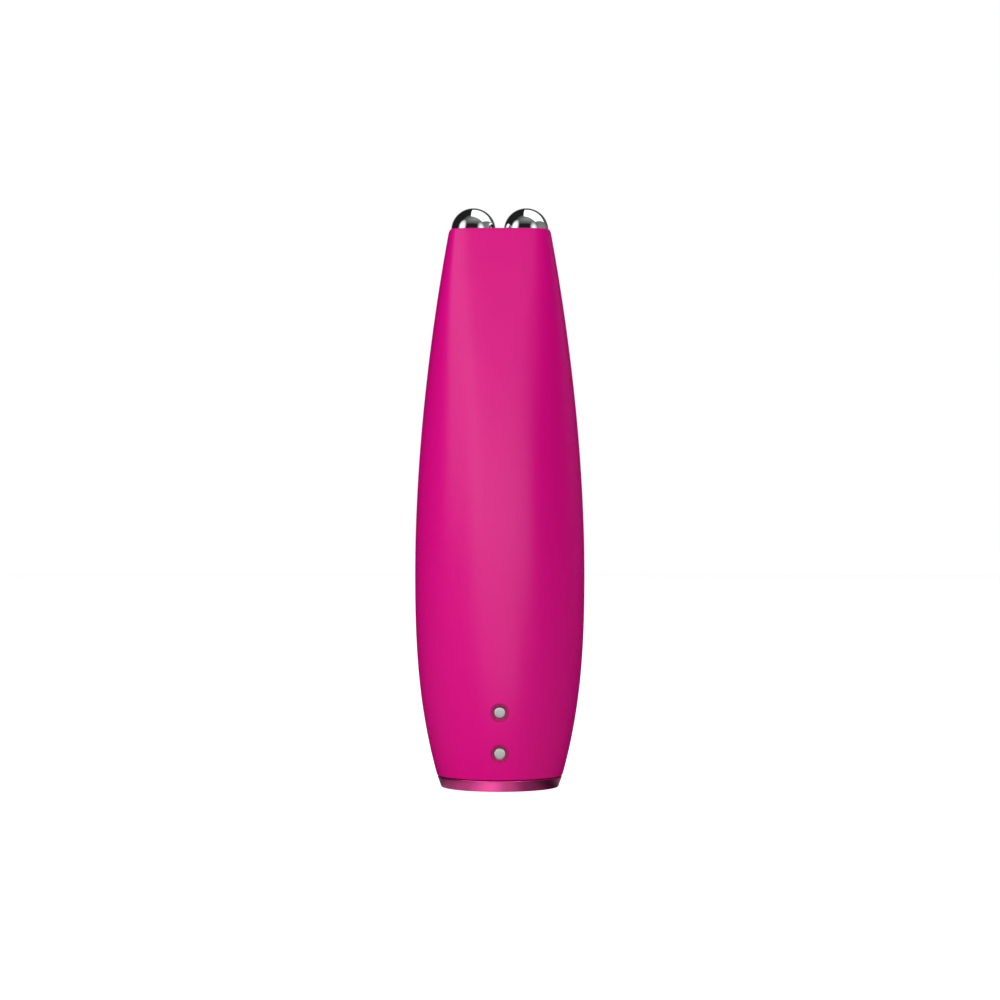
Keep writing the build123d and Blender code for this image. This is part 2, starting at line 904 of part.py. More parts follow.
def button_cable():
    """Flat flexible cable from the button board to the main board"""
    half = cable_thickness / 2
    route = FilletPolyline(
        (cable_y, collar_top),
        (cable_y, collar_top + cable_rise),
        (board_front + half, board_z - lead_end_run),
        (board_front + half, board_z + cable_lap),
        radius=cable_bend,
    )
    strip = Plane.YZ * trace(route, cable_thickness)
    return extrude(strip, amount=cable_width / 2, both=True)


parts = {
    "silicone_sleeve": silicone_sleeve,
    "head_plate": head_plate,
    "head_gasket": head_gasket,
    "left_sphere": lambda: treatment_sphere(-1),
    "right_sphere": lambda: treatment_sphere(1),
    "left_sphere_socket": lambda: sphere_socket(-1),
    "right_sphere_socket": lambda: sphere_socket(1),
    "electrode_holder": electrode_holder,
    "electrode_nuts": electrode_nuts,
    "electrode_terminals": electrode_terminals,
    "front_housing": front_housing,
    "rear_housing": rear_housing,
    "housing_screws": housing_screws,
    "base_cap": base_cap,
    "base_gasket": base_gasket,
    "light_ring": light_ring,
    "power_button": power_button,
    "button_seal": button_seal,
    "board_spacer": board_spacer,
    "switch_body": switch_body,
    "switch_plunger": switch_plunger,
    "button_board": button_board,
    "indicator_leds": indicator_leds,
    "lower_charge_contact": lambda: charge_contact(contact_heights[0]),
    "upper_charge_contact": lambda: charge_contact(contact_heights[1]),
    "contact_seals": contact_seals,
    "contact_board": contact_board,
    "charge_magnets": charge_magnets,
    "battery_cell": battery_cell,
    "battery_pad": battery_pad,
    "main_board": main_board,
    "control_chip": control_chip,
    "boost_coil": boost_coil,
    "board_capacitors": board_capacitors,
    "battery_connector": battery_connector,
    "motor_can": motor_can,
    "motor_shaft": motor_shaft,
    "eccentric_weight": eccentric_weight,
    "motor_mount": motor_mount,
    "electrode_leads": electrode_leads,
    "motor_leads": motor_leads,
    "battery_leads": battery_leads,
    "contact_leads": contact_leads,
    "button_cable": button_cable,
}

os.makedirs("parts", exist_ok=True)
for name, make in parts.items():
    export_step(make(), f"parts/{name}.step")
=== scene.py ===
import json
import math

import bpy
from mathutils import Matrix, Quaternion, Vector

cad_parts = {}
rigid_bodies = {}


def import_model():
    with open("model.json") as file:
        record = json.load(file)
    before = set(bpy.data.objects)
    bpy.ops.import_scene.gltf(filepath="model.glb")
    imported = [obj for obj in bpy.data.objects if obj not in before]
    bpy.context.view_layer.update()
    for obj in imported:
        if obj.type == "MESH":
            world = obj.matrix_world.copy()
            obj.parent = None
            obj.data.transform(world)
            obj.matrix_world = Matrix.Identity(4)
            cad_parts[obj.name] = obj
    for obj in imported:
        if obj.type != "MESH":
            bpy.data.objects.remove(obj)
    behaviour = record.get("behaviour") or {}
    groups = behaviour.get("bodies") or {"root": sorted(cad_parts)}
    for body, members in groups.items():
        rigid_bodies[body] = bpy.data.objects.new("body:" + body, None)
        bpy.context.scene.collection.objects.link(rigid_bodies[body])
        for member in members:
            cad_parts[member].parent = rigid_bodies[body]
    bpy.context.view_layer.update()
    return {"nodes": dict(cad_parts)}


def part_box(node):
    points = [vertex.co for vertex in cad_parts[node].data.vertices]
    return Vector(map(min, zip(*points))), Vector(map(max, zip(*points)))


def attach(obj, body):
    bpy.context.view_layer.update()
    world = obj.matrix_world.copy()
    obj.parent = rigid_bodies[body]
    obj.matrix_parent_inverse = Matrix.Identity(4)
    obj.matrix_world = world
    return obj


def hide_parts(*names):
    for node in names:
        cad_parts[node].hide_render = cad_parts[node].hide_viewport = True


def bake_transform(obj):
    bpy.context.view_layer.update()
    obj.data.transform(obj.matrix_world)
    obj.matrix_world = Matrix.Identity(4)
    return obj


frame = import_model()


# Housing halves. Two white moulded shells, screwed together from the rear, that carry the
# board, the cell and the motor. The plastic has the fine spark texture of its mould.

MM = 0.001
nodes = frame["nodes"]
cloud_size = 6 * MM
gloss_swing = 0.15
grain_depth = 0.3


def ramped(tree, value, near, far, low, high):
    """Value that goes from low to high between two places"""
    node = tree.nodes.new("ShaderNodeMapRange")
    node.inputs["From Min"].default_value = near
    node.inputs["From Max"].default_value = far
    node.inputs["To Min"].default_value = low
    node.inputs["To Max"].default_value = high
    tree.links.new(value, node.inputs["Value"])
    return node.outputs["Result"]


def finish(name, colour, roughness, metallic=0.0, grain=0.15 * MM, relief=0.1, mottle=0.06,
           gloss_level=0.5):
    """Material with fine grain, and a slight change of shade and of gloss over the surface"""
    material = bpy.data.materials.new(name)
    material.use_nodes = True
    tree = material.node_tree
    shader = tree.nodes["Principled BSDF"]
    shader.inputs["Metallic"].default_value = metallic
    shader.inputs["Specular IOR Level"].default_value = gloss_level
    place = tree.nodes.new("ShaderNodeTexCoord")

    def noise(size, detail):
        node = tree.nodes.new("ShaderNodeTexNoise")
        node.inputs["Scale"].default_value = 1 / size
        node.inputs["Detail"].default_value = detail
        tree.links.new(place.outputs["Object"], node.inputs["Vector"])
        return node.outputs["Fac"]

    speckle = noise(grain, detail=3.0)
    cloud = noise(cloud_size, detail=4.0)

    shade = tree.nodes.new("ShaderNodeMix")
    shade.data_type = "RGBA"
    shade.inputs["A"].default_value = (*[c * (1 - mottle) for c in colour], 1)
    shade.inputs["B"].default_value = (*[min(1, c * (1 + mottle)) for c in colour], 1)
    tree.links.new(cloud, shade.inputs["Factor"])
    tree.links.new(shade.outputs["Result"], shader.inputs["Base Color"])

    gloss = ramped(tree, speckle, 0, 1, roughness * (1 - gloss_swing),
                   min(1, roughness * (1 + gloss_swing)))
    tree.links.new(gloss, shader.inputs["Roughness"])

    bump = tree.nodes.new("ShaderNodeBump")
    bump.inputs["Strength"].default_value = relief
    bump.inputs["Distance"].default_value = grain * grain_depth
    tree.links.new(speckle, bump.inputs["Height"])
    tree.links.new(bump.outputs["Normal"], shader.inputs["Normal"])
    return material


def dress(material, *names):
    """Gives a material to the solids of the named nodes"""
    for name in names:
        for slot in nodes[name].material_slots:
            slot.material = material


white_plastic = finish("white_plastic", (0.80, 0.80, 0.78), 0.5)
dress(white_plastic, "front_housing", "rear_housing", "board_spacer", "battery_connector")


# Boards, cell and motor. Everything inside the housing, each in the finish of the real part:
# glass-fibre boards, moulded holders, rubber pads and seals, plated metal and coated wire.

green_board = finish("green_board", (0.03, 0.22, 0.10), 0.3, mottle=0.2)
black_plastic = finish("black_plastic", (0.03, 0.03, 0.033), 0.45)
grey_plastic = finish("grey_plastic", (0.30, 0.31, 0.33), 0.5)
dark_rubber = finish("dark_rubber", (0.035, 0.035, 0.04), 0.7, relief=0.2)
clear_rubber = finish("clear_rubber", (0.78, 0.78, 0.78), 0.4)
frosted_plastic = finish("frosted_plastic", (0.85, 0.85, 0.86), 0.35)
steel = finish("steel", (0.62, 0.62, 0.63), 0.3, metallic=1.0)
brass = finish("brass", (0.78, 0.60, 0.30), 0.3, metallic=1.0)
battery_wrap = finish("battery_wrap", (0.08, 0.20, 0.50), 0.35)
red_wire = finish("red_wire", (0.60, 0.02, 0.02), 0.4)
amber_film = finish("amber_film", (0.75, 0.38, 0.06), 0.3)

dress(green_board, "main_board", "contact_board", "button_board")
dress(black_plastic, "control_chip", "boost_coil", "switch_body",
      "left_sphere_socket", "right_sphere_socket")
dress(grey_plastic, "electrode_holder")
dress(dark_rubber, "head_gasket", "base_gasket", "contact_seals", "battery_pad", "motor_mount")
dress(clear_rubber, "button_seal")
dress(frosted_plastic, "light_ring", "indicator_leds")
dress(steel, "housing_screws", "switch_plunger", "charge_magnets", "motor_can", "motor_shaft")
dress(brass, "electrode_nuts", "electrode_terminals", "board_capacitors", "eccentric_weight")
dress(battery_wrap, "battery_cell")
dress(red_wire, "electrode_leads", "motor_leads", "battery_leads", "contact_leads")
dress(amber_film, "button_cable")


# Silicone sleeve. One soft pink tube, round at the foot and squarer at the head, pulled over
# the housing. A ring is drawn out into a closed wall whose every column ends at the head cut.

sleeve_low, sleeve_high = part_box("silicone_sleeve")
seam_height = sleeve_low.z / MM
rim_height = sleeve_high.z / MM
belly_radius = sleeve_high.x / MM
belly_height = 36.5
seam_radius = 10.66
rim_half_width = 8.57
rim_rear_depth = 6.8
rim_front_depth = 3.5
upper_taper = 1.87
lower_taper = 2.6
foot_squareness = 2.0
rim_squareness = 5.0
squareness_growth = 4
head_slope = math.radians(32.0)
crest_y = -3.6
crest_radius = 6.0
sleeve_wall = 1.5
sleeve_rim_wall = 0.75
rim_round = 0.18
sleeve_foot_round = 0.12
contact_heights = (6.5, 13.4)
contact_radius = 1.0
contact_clearance = 0.05
well_radius = 1.5
well_depth = 1.2
well_lip = 0.1
full_turn = 2 * math.pi
rear = -math.pi / 2
quarter_arc = [math.radians(15 * step) for step in range(7)]


def taper(z, at_seam, at_belly, at_rim):
    """Half width or half depth of the handle at height z"""
    if z > belly_height:
        rise = (z - belly_height) / (rim_height - belly_height)
        return at_belly - (at_belly - at_rim) * rise**upper_taper
    drop = (belly_height - z) / (belly_height - seam_height)
    return at_belly - (at_belly - at_seam) * drop**lower_taper


def wall_point(turn, z, low_inset, rim_inset):
    """Point of the handle's surface, set in, at a turn about Z and a height"""
    low, high = seam_radius - low_inset, belly_radius - low_inset
    width = taper(z, low, high, rim_half_width - rim_inset)
    rim_depth = rim_front_depth if math.sin(turn) > 0 else rim_rear_depth
    depth = taper(z, low, high, rim_depth - rim_inset)
    rise = max(0.0, (z - belly_height) / (rim_height - belly_height))
    power = foot_squareness + (rim_squareness - foot_squareness) * rise**squareness_growth
    across, along = abs(math.cos(turn) / width), abs(math.sin(turn) / depth)
    reach = (across**power + along**power) ** (-1 / power)
    return Vector((reach * math.cos(turn), reach * math.sin(turn), z))


def cut_height(y):
    """Height of the head cut: level at the rear, rounded over, then sloping to the front"""
    start = crest_y - crest_radius * math.tan(head_slope / 2)
    if y <= start:
        return rim_height
    if y < start + crest_radius * math.sin(head_slope):
        return rim_height - crest_radius + math.sqrt(crest_radius**2 - (y - start) ** 2)
    return rim_height - (y - crest_y) * math.tan(head_slope)


def rim_point(turn, low_inset, rim_inset, tries=30):
    """Where a column of the wall meets the head cut, found by trying again from below"""
    z = rim_height
    for _ in range(tries):
        z = cut_height(wall_point(turn, z, low_inset, rim_inset).y)
    return wall_point(turn, z, low_inset, rim_inset)


def rounded(before, corner, after, reach, steps):
    """Points of a small round that replaces a corner"""
    first = corner + (before - corner).normalized() * reach
    last = corner + (after - corner).normalized() * reach
    shares = [step / (steps - 1) for step in range(steps)]
    return [first * (1 - s) ** 2 + corner * 2 * s * (1 - s) + last * s**2 for s in shares]


def spread(stations):
    """Values through a list of (value, steps to the next value)"""
    values = []
    for (low, steps), (high, _) in zip(stations, stations[1:]):
        values += [low + (high - low) * step / steps for step in range(steps)]
    return values + [stations[-1][0]]


def sleeve_column(turn):
    """One closed loop of the wall: up the outside, over the rim and down the inside"""
    outer, inner = (0, 0), (sleeve_wall, sleeve_rim_wall)
    outer_rim, inner_rim = rim_point(turn, *outer), rim_point(turn, *inner)

    def on(inset, z):
        return wall_point(turn, z, *inset)

    def climbed(z, top):
        """Height of a row, drawn down above the lean so that the last row ends at the cut"""
        if z < lean_start:
            return z
        return lean_start + (z - lean_start) * (top - lean_start) / (rim_height - lean_start)

    foot_in, foot_out = on(inner, seam_height), on(outer, seam_height)
    loop = rounded(foot_in, foot_out, on(outer, seam_height + 1), sleeve_foot_round, steps=4)
    loop += [on(outer, climbed(z, outer_rim.z)) for z in outer_heights]
    loop += rounded(on(outer, outer_rim.z - 1), outer_rim, inner_rim, rim_round, steps=7)
    loop += rounded(outer_rim, inner_rim, on(inner, inner_rim.z - 1), rim_round / 3, steps=4)
    loop += [on(inner, climbed(z, inner_rim.z)) for z in reversed(inner_heights)]
    return loop + [foot_in]


# Rows and columns are closest round the contact wells, at the rear near the foot.
wells_start, wells_end = 4.7, 15.3
belly_start, lean_start, head_start = 22.0, 60.0, 80.0
foot_gap, inner_foot_gap, rim_gap = 0.3, 1.0, 0.7
outer_heights = spread([(seam_height + foot_gap, 12), (wells_start, 44), (wells_end, 12),
                        (belly_start, 36), (head_start, 14), (rim_height - rim_gap, 0)])
inner_heights = spread([(seam_height + inner_foot_gap, 24), (head_start, 8),
                        (rim_height - rim_gap, 0)])
wells_turn = math.radians(9.0)
beside_turn = 3 * wells_turn
turns = spread([(rear, 10), (rear + wells_turn, 10), (rear + beside_turn, 105),
                (rear + full_turn - beside_turn, 10), (rear + full_turn - wells_turn, 10),
                (rear + full_turn, 0)])[:-1]

bpy.ops.object.select_all(action="DESELECT")
bpy.ops.mesh.primitive_torus_add(major_segments=len(turns),
                                 minor_segments=len(sleeve_column(rear)),
                                 major_radius=belly_radius * MM, minor_radius=MM)
sleeve = bpy.context.object
sleeve.name = "soft_sleeve"
vertices = iter(sleeve.data.vertices)
for turn in turns:
    for point in sleeve_column(turn):
        next(vertices).co = point * MM

bpy.ops.object.mode_set(mode="EDIT")
bpy.ops.mesh.select_all(action="SELECT")
bpy.ops.mesh.normals_make_consistent(inside=False)
bpy.ops.object.mode_set(mode="OBJECT")


def turned(name, outline, steps=144):
    """Closed half section of (radius, height) points, spun about Z"""
    bpy.ops.object.select_all(action="DESELECT")
    bpy.ops.mesh.primitive_circle_add(vertices=len(outline), radius=MM)
    piece = bpy.context.object
    piece.name = name
    for vertex, (radius, height) in zip(piece.data.vertices, outline):
        vertex.co = (radius * MM, 0, height * MM)
    bpy.ops.object.mode_set(mode="EDIT")
    bpy.ops.mesh.select_all(action="SELECT")
    bpy.ops.mesh.spin(steps=steps, angle=full_turn, center=(0, 0, 0), axis=(0, 0, 1))
    bpy.ops.mesh.select_all(action="SELECT")
    bpy.ops.mesh.remove_doubles(threshold=1e-7)
    bpy.ops.mesh.normals_make_consistent(inside=False)
    bpy.ops.object.mode_set(mode="OBJECT")
    return piece


def tilted_to(piece, tilt, x, y, z):
    """Tilts the selected piece about X and moves it to its place, both in its mesh"""
    piece.rotation_euler = (tilt, 0, 0)
    piece.location = (x * MM, y * MM, z * MM)
    bpy.ops.object.transform_apply(location=True, rotation=True, scale=True)


def taken(piece):
    """Selects one piece alone and makes it the active one"""
    bpy.ops.object.select_all(action="DESELECT")
    piece.select_set(True)
    bpy.context.view_layer.objects.active = piece


def placed(piece, material, body, slot, *replaced):
    """Gives a piece its material, its body and the nodes that it stands for; slot is not used
    """
    piece.data.materials.clear()
    piece.data.materials.append(material)
    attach(piece, body)
    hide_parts(*replaced)


punch_start, punch_end = -1.0, 4.0
pin_hole_radius = contact_radius + contact_clearance
rear_tilt = -math.pi / 2
for z in contact_heights:
    lip = [(well_radius + well_lip * (1 - math.cos(a)), well_lip * (1 - math.sin(a)))
           for a in quarter_arc]
    punch = turned("contact_punch", [
        (0, punch_start),
        (well_radius + well_lip, punch_start),
        *reversed(lip),
        (well_radius, well_depth),
        (pin_hole_radius, well_depth),
        (pin_hole_radius, punch_end),
        (0, punch_end),
    ], steps=96)
    tilted_to(punch, rear_tilt, 0, wall_point(rear, z, 0, 0).y, z)
    taken(sleeve)
    hole = sleeve.modifiers.new("contact_hole", "BOOLEAN")
    hole.object = punch
    hole.solver = "EXACT"
    bpy.ops.object.modifier_apply(modifier=hole.name)
    bpy.data.objects.remove(punch)

taken(sleeve)
bpy.ops.object.shade_smooth_by_angle(angle=math.radians(40))

silicone = finish("pink_silicone", (0.70, 0.001, 0.228), 0.30, grain=0.09 * MM, relief=0.12,
                  mottle=0.03, gloss_level=0.22)
placed(sleeve, silicone, "handle", "silicone", "silicone_sleeve")


# Treatment spheres. Two polished metal balls, each turned in one piece with the stud that
# carries the current, pressed into the head plate at a right angle to the sloping face.

sphere_radius = 3.8
sphere_x = 4.485
sphere_y = 0.5
sphere_z = 94.4
stud_radius = 1.1
stud_end = -7.2

chrome = finish("polished_chrome", (0.86, 0.87, 0.88), 0.04, metallic=1.0, grain=0.4 * MM,
                relief=0.01, mottle=0.02)
for x, name in ((-sphere_x, "left_sphere"), (sphere_x, "right_sphere")):
    bpy.ops.object.select_all(action="DESELECT")
    bpy.ops.mesh.primitive_uv_sphere_add(segments=128, ring_count=64,
                                         radius=sphere_radius * MM)
    ball = bpy.context.object
    ball.name = name + "_polished"
    neck = -math.sqrt(sphere_radius**2 - stud_radius**2) * MM
    stud = (0, 0, stud_end * MM - neck)
    bpy.ops.object.mode_set(mode="EDIT")
    bpy.ops.mesh.select_all(action="SELECT")
    bpy.ops.mesh.bisect(plane_co=(0, 0, neck), plane_no=(0, 0, 1), clear_inner=True)
    bpy.ops.mesh.extrude_region_move(TRANSFORM_OT_translate={"value": stud})
    bpy.ops.mesh.edge_face_add()
    bpy.ops.mesh.select_all(action="SELECT")
    bpy.ops.mesh.normals_make_consistent(inside=False)
    bpy.ops.object.mode_set(mode="OBJECT")
    bpy.ops.object.shade_smooth_by_angle(angle=math.radians(40))
    tilted_to(ball, -head_slope, x, sphere_y, sphere_z)
    placed(ball, chrome, "handle", "chrome", name)


# Head plate. A sloping metal plate under the spheres, lacquered satin pink, let into the rim
# of the sleeve and sealed by the gasket under it.

pink_metal = finish("pink_metal", (0.80, 0.08, 0.33), 0.3, metallic=1.0, grain=0.06 * MM,
                    relief=0.05, mottle=0.02)
dress(pink_metal, "head_plate")


# Base cap. A shallow metal dish with a rounded foot and a thin chamfer at the seam, turned on
# a lathe and lacquered satin pink.

def softened(piece, width, angle=30, segments=3):
    """Rounds every sharp edge of a piece by a small radius and shades it smooth"""
    taken(piece)
    edges = piece.modifiers.new("rounded_edges", "BEVEL")
    edges.width = width * MM
    edges.segments = segments
    edges.limit_method = "ANGLE"
    edges.angle_limit = math.radians(angle)
    bpy.ops.object.modifier_apply(modifier=edges.name)
    bpy.ops.object.shade_smooth_by_angle(angle=math.radians(50))


cap_height = 1.85
cap_foot_radius = 9.94
cap_top_radius = 10.56
cap_floor = 0.9
window_radius = 6.5
collar_inner_radius = 6.95
collar_radius = 7.75
collar_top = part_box("base_cap")[1].z / MM
cap_foot_round = 0.14
seam_chamfer = 0.2
chamfer_sink = 0.03
chamfer_lean = 0.01
seam_bevel = 0.04

foot_curve = rounded(Vector((window_radius, 0, 0)), Vector((cap_foot_radius, 0, 0)),
                     Vector((cap_top_radius, 0, cap_height)), cap_foot_round, steps=7)
chamfer_radius = cap_top_radius - chamfer_sink
cap = turned("base_cap_turned", [
    (window_radius, 0),
    *[(point.x, point.z) for point in foot_curve],
    (chamfer_radius, cap_height - seam_chamfer),
    (chamfer_radius - chamfer_lean, cap_height - seam_bevel),
    (chamfer_radius - chamfer_lean - seam_bevel, cap_height),
    (collar_radius, cap_height),
    (collar_radius, collar_top),
    (collar_inner_radius, collar_top),
    (collar_inner_radius, cap_floor),
    (window_radius, cap_floor),
])
softened(cap, width=0.05)
placed(cap, pink_metal, "handle", "pink_metal", "base_cap")


# Light ring. A frosted light guide round the button, set just inside the cap's face. It holds
# the button's flange and clamps the seal against the board's spacer.

ring_inner_radius = 5.75
ring_radius = 6.45
ring_recess = 0.15
ring_seat_radius = 6.9
ring_wall_radius = 6.35
ring_top = 1.3
seal_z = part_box("button_seal")[0].z / MM
ring = turned("light_ring_turned", [
    (ring_inner_radius, ring_recess),
    (ring_radius, ring_recess),
    (ring_radius, cap_floor),
    (ring_seat_radius, cap_floor),
    (ring_seat_radius, seal_z),
    (ring_wall_radius, seal_z),
    (ring_wall_radius, ring_top),
    (ring_inner_radius, ring_top),
])
softened(ring, width=0.06)
placed(ring, frosted_plastic, "handle", "frosted_plastic", "light_ring")


# Power button. One metal key in the middle of the base, dished for the fingertip, with a
# flange that the light ring holds and a boss that presses the switch through its seal.

button_radius = 5.6
button_recess = 0.3
button_dish_depth = 0.2
button_dish_radius = 4.9
button_flange_radius = 6.1
button_flange_z = 1.35
button_flange_top = 1.85
button_boss_radius = 1.6
dish_steps = 12
dish_curvature = (button_dish_radius**2 + button_dish_depth**2) / (2 * button_dish_depth)
dish_curve = []
for step in range(dish_steps + 1):
    radius = button_dish_radius * step / dish_steps
    sink = button_dish_depth - dish_curvature + math.sqrt(dish_curvature**2 - radius**2)
    dish_curve.append((radius, button_recess + sink))
button = turned("power_button_turned", [
    *dish_curve,
    (button_radius, button_recess),
    (button_radius, button_flange_z),
    (button_flange_radius, button_flange_z),
    (button_flange_radius, button_flange_top),
    (button_boss_radius, button_flange_top),
    (button_boss_radius, seal_z),
    (0, seal_z),
])
softened(button, width=0.08)
placed(button, pink_metal, "power_button", "pink_metal", "power_button")


# Button seal. A clear rubber membrane clamped under the light ring. Its hub goes up with the
# button, and a thin fold between the hub and the rim stays where it is.

seal_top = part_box("button_seal")[1].z / MM
hub_radius = 1.7
fold_radius = 1.9
fold_thickness = 0.06
fold_overlap = 0.03
fold_sink = 0.02
fold_start = hub_radius - fold_overlap
fold_end = fold_radius + fold_overlap
seal_hub = turned("seal_hub", [
    (0, seal_z), (hub_radius, seal_z), (hub_radius, seal_top), (0, seal_top)], steps=96)
seal_rim = turned("seal_rim", [
    (fold_radius, seal_z), (ring_seat_radius, seal_z),
    (ring_seat_radius, seal_top), (fold_radius, seal_top)])
seal_fold = turned("seal_fold", [
    (fold_start, seal_z + fold_sink), (fold_start + fold_thickness, seal_z + fold_sink),
    (fold_end, seal_top - fold_sink), (fold_end - fold_thickness, seal_top - fold_sink),
], steps=96)
softened(seal_hub, width=0.05)
softened(seal_rim, width=0.05)
placed(seal_hub, clear_rubber, "power_button", "clear_rubber", "button_seal")
placed(seal_rim, clear_rubber, "handle", "clear_rubber", "button_seal")
seal_fold.data.materials.append(clear_rubber)
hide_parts("button_seal")
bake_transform(seal_fold)


# Charging contacts. Two nickel-plated pins in the rear of the sleeve, each with a slightly
# domed face and a rounded edge, and a flange that a rubber ring seals from inside.

contact_metal = finish("contact_metal", (0.62, 0.65, 0.63), 0.5, metallic=1.0,
                       grain=0.05 * MM, relief=0.05)
contact_edge = 0.22
contact_dome = 0.02
dome_share, dome_fall = 0.6, 0.3
flange_sink = 0.65
flange_radius = 1.7
flange_thickness = 0.5
tail_radius = 0.6
for node, z in zip(("lower_charge_contact", "upper_charge_contact"), contact_heights):
    face_y, tail_y = (corner.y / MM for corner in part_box(node))
    face = contact_radius - contact_edge
    length = tail_y - face_y
    flange = wall_point(rear, z, sleeve_wall, sleeve_rim_wall).y + flange_sink - face_y
    pin = turned(node + "_pin", [
        (0, 0),
        (face * dome_share, contact_dome * dome_fall),
        *[(face + contact_edge * math.sin(a), contact_dome + contact_edge * (1 - math.cos(a)))
          for a in quarter_arc],
        (contact_radius, flange),
        (flange_radius, flange),
        (flange_radius, flange + flange_thickness),
        (tail_radius, flange + flange_thickness),
        (tail_radius, length),
        (0, length),
    ], steps=96)
    softened(pin, width=0.03, angle=40, segments=2)
    tilted_to(pin, rear_tilt, 0, face_y, z)
    placed(pin, contact_metal, "handle", "contact_metal", node)


# Floor. A plain white sheet that keeps the object's shadow, and that is open from below so
# that the underside of the object can be seen.

def worked(tree, operation, *terms):
    """Result of a Math node that is fed with sockets and plain numbers"""
    node = tree.nodes.new("ShaderNodeMath")
    node.operation = operation
    for socket, term in zip(node.inputs, terms):
        if isinstance(term, bpy.types.NodeSocket):
            tree.links.new(term, socket)
        else:
            socket.default_value = term
    return node.outputs[0]


def ray_share(tree, *kinds):
    """1 for a ray of any of the named kinds, and 0 for the others"""
    rays = tree.nodes.new("ShaderNodeLightPath")
    share = rays.outputs[kinds[0]]
    for kind in kinds[1:]:
        share = worked(tree, "MAXIMUM", share, rays.outputs[kind])
    return share


def joined(tree, kind, *shaders):
    """Mix Shader or Add Shader over two shaders"""
    node = tree.nodes.new(kind)
    for socket, shader in zip(node.inputs[-2:], shaders):
        tree.links.new(shader.outputs[0], socket)
    return node


floor_size = 4.0
floor_shade = (0.9, 0.9, 0.9, 1)
floor_glow = 0.87
bpy.ops.object.select_all(action="DESELECT")
bpy.ops.mesh.primitive_plane_add(size=floor_size, location=(0, 0, 0))
floor = bpy.context.object
floor.name = "floor"
floor_paint = bpy.data.materials.new("floor_paint")
floor_paint.use_nodes = True
tree = floor_paint.node_tree
matt = tree.nodes["Principled BSDF"]
matt.inputs["Base Color"].default_value = floor_shade
matt.inputs["Roughness"].default_value = 0.9
lift = tree.nodes.new("ShaderNodeEmission")
seen = ray_share(tree, "Is Camera Ray", "Is Glossy Ray")
tree.links.new(worked(tree, "MULTIPLY", seen, floor_glow), lift.inputs["Strength"])
lifted = joined(tree, "ShaderNodeAddShader", matt, lift)
clear = tree.nodes.new("ShaderNodeBsdfTransparent")
one_sided = joined(tree, "ShaderNodeMixShader", lifted, clear)
facing = tree.nodes.new("ShaderNodeNewGeometry")
tree.links.new(facing.outputs["Backfacing"], one_sided.inputs["Fac"])
tree.links.new(one_sided.outputs[0], tree.nodes["Material Output"].inputs["Surface"])
floor.data.materials.append(floor_paint)


# Studio room. White to look at and in mirrors, but its light on the object is only a faint
# fill, because the soft boxes do the lighting.

world = bpy.data.worlds.new("studio")
bpy.context.scene.world = world
world.use_nodes = True
tree = world.node_tree
fill = tree.nodes["Background"]
white = tree.nodes.new("ShaderNodeBackground")
for shader, strength in ((fill, 0.07), (white, 1.0)):
    shader.inputs["Color"].default_value = (1, 1, 1, 1)
    shader.inputs["Strength"].default_value = strength
room = joined(tree, "ShaderNodeMixShader", fill, white)
seen = ray_share(tree, "Is Camera Ray", "Is Glossy Ray", "Is Transmission Ray")
tree.links.new(seen, room.inputs["Fac"])
tree.links.new(room.outputs[0], tree.nodes["World Output"].inputs["Surface"])


# Soft boxes. A wide one on the left, a low strip in front, one above it, a small one on the
# right, two overhead and one behind, all of them out of the camera's sight.

def soft_box(name, direction, distance, width, height, watts, roll=0):
    """Area light that looks at the middle of the object"""
    light = bpy.data.lights.new(name, "AREA")
    light.shape = "RECTANGLE"
    light.size, light.size_y = width, height
    light.energy = watts
    lamp = bpy.data.objects.new(name, light)
    bpy.context.collection.objects.link(lamp)
    aim = Vector(direction).normalized()
    middle = Vector((0, 0, rim_height * MM / 2))
    lamp.location = middle + aim * distance
    turn = aim.to_track_quat("Z", "Y") @ Quaternion((0, 0, 1), math.radians(roll))
    lamp.rotation_euler = turn.to_euler()
    lamp.visible_camera = False
    return lamp


overhead = (0.392, 0.140, 0.909)
left_box = soft_box("left_box", (-0.80, -0.60, 0.46), 0.8, 0.75, 0.55, 3.15)
right_box = soft_box("right_box", (0.70, -0.70, 0.35), 0.9, 0.45, 0.42, 0.6)
soft_box("top_box", overhead, 1.0, 1.19, 1.14, 3.3, roll=-30)
front_box = soft_box("front_box", (0.03, -1.0, 0.11), 0.9, 1.5, 0.27, 3.4)
upper_box = soft_box("upper_box", (0.0, -1.0, 0.50), 0.9, 0.8, 0.40, 1.1)
glint_box = soft_box("glint_box", overhead, 0.98, 1.17, 1.12, 1.8, roll=-30)
back_box = soft_box("back_box", (0.70, 0.70, 0.35), 0.9, 0.6, 0.6, 2.0)
back_box.visible_glossy = False


# Dark tent. A half sphere over the object, dark but for a glow behind it, a fainter one on
# the right and a round pool of light high in front. Only the metal reflects it.

def glowing(name):
    """Material that only glows, its node tree and its Emission node"""
    paint = bpy.data.materials.new(name)
    paint.use_nodes = True
    tree = paint.node_tree
    glow = tree.nodes.new("ShaderNodeEmission")
    tree.links.new(glow.outputs[0], tree.nodes["Material Output"].inputs["Surface"])
    return paint, tree, glow


def axes_of(tree):
    """Object coordinates, one by one"""
    place = tree.nodes.new("ShaderNodeTexCoord")
    apart = tree.nodes.new("ShaderNodeSeparateXYZ")
    tree.links.new(place.outputs["Object"], apart.inputs[0])
    return apart.outputs


